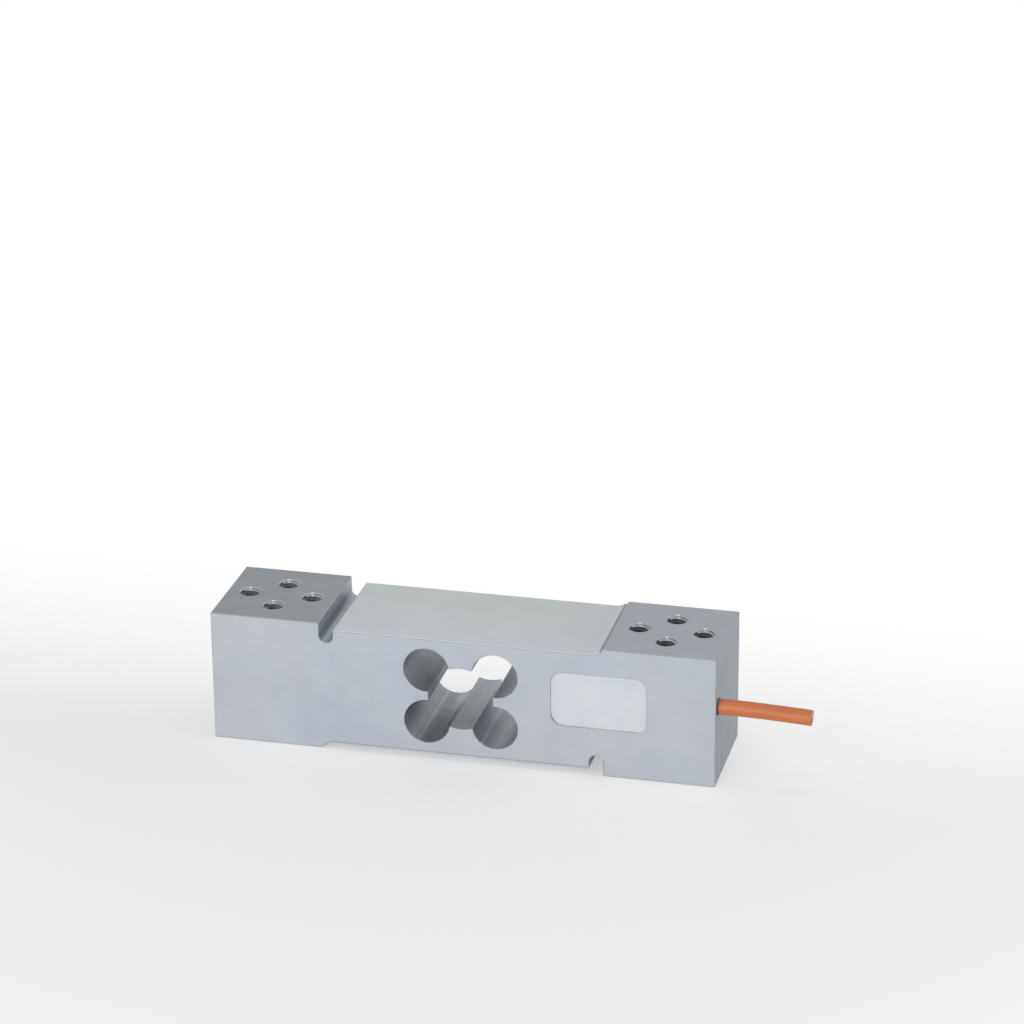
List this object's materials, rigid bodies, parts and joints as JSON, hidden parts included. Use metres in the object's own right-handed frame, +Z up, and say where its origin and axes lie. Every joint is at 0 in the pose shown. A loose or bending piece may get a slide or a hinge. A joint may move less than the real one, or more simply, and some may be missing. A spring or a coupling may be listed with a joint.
{
  "type": "single point load cell",
  "caption": "Aluminium bending beam load cell with a four-lobe cut-out, gauge recesses on top and underside, tapped mounting pads and a cable from one end.",
  "frame": {"origin": "middle of the beam's underside, on the plane of the lower mounting pads", "axes": "+X along the beam towards the cable, +Y towards the face with no pocket, +Z up"},
  "size_m": [0.1772, 0.035, 0.04],
  "materials": {
    "beam": "fine machined, clear anodised",
    "gauge_cover": "thin satin coating",
    "sealant": "white silicone, soft satin",
    "seal": "matt",
    "jacket": "satin orange-brown",
    "shield": "tinned braid",
    "filler": "cotton string",
    "foil": "foil on amber film",
    "adhesive_pad": "matt foam",
    "board": "green lacquer",
    "resistor": "satin",
    "copper": "bright copper",
    "core_red": "satin",
    "core_black": "satin",
    "core_green": "satin",
    "core_white": "satin"
  },
  "bodies": {
    "root": {"beam_body": "beam", "top_gauge_cover": "gauge_cover", "bottom_gauge_cover": "gauge_cover", "pocket_sealant": "sealant", "exit_seal": "seal", "cable_jacket": "jacket", "cable_shield": "shield", "cable_filler": "filler", "gauge_top_left": "foil", "gauge_top_right": "foil", "gauge_bottom_left": "foil", "gauge_bottom_right": "foil", "terminals_top": "foil", "terminals_bottom": "foil", "board_pad": "adhesive_pad", "bridge_board": "board", "span_resistor": "resistor", "zero_resistor": "resistor", "temperature_resistor": "resistor", "bridge_wire_top_1": "copper", "bridge_wire_bottom_1": "copper", "bridge_wire_top_2": "copper", "bridge_wire_bottom_2": "copper", "bridge_wire_top_3": "copper", "bridge_wire_bottom_3": "copper", "bridge_wire_top_4": "copper", "bridge_wire_bottom_4": "copper", "core_red": "core_red", "copper_red": "copper", "core_black": "core_black", "copper_black": "copper", "core_green": "core_green", "copper_green": "copper", "core_white": "core_white", "copper_white": "copper"}
  },
  "joints": []
}
